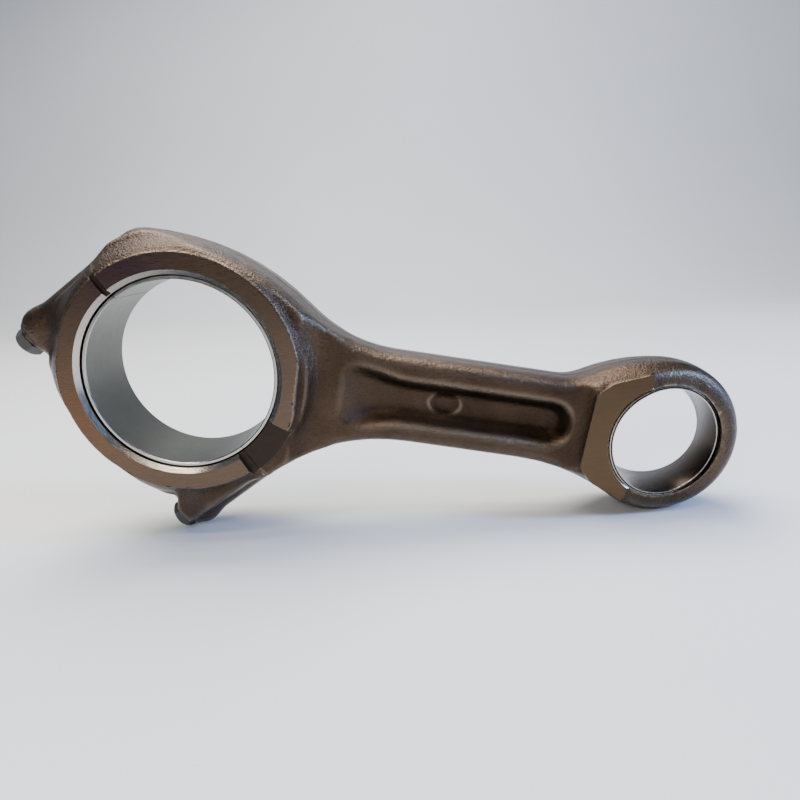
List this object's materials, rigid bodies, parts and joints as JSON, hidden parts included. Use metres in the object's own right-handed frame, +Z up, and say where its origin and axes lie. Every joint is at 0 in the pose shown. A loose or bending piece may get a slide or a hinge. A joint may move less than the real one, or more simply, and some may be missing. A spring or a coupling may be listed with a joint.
{
  "type": "connecting rod",
  "caption": "Heavy-duty diesel connecting rod with an oblique split big end, bolted bearing cap, shell bearings and a tapered, bushed small end.",
  "frame": {"origin": "the middle of the underside of the whole rod's box, as it lies on level ground on its lower bolt and its small end", "axes": "+X from the big end towards the small end, +Y along the bores, from the front face to the back face, +Z up"},
  "size_m": [0.3836, 0.049, 0.1664],
  "materials": {
    "forged_rod": "forged, shot-blasted, bronze-brown oxide tint",
    "forged_cap": "forged, shot-blasted, bronze-brown oxide tint",
    "bearing_lining": "satin, grey-green bearing lining on steel",
    "bush": "fine-bored, satin",
    "black_bolt": "black oxide, lightly oiled"
  },
  "bodies": {
    "rod": {"rod_body": "forged_rod", "rod_bearing_shell": "bearing_lining", "small_end_bush": "bush"},
    "cap": {"bearing_cap": "forged_cap", "cap_bearing_shell": "bearing_lining"},
    "upper_bolt": {"upper_cap_bolt": "black_bolt"},
    "lower_bolt": {"lower_cap_bolt": "black_bolt"}
  },
  "joints": [
    {"name": "cap_draw", "type": "slide", "parent": "rod", "child": "cap", "axis": [-0.8343, 0, -0.5514], "range_m": [0, 0.06]},
    {"name": "upper_bolt_draw", "type": "slide", "parent": "cap", "child": "upper_bolt", "axis": [-0.8343, 0, -0.5514], "range_m": [0, 0.09]},
    {"name": "lower_bolt_draw", "type": "slide", "parent": "cap", "child": "lower_bolt", "axis": [-0.8343, 0, -0.5514], "range_m": [0, 0.09]}
  ]
}
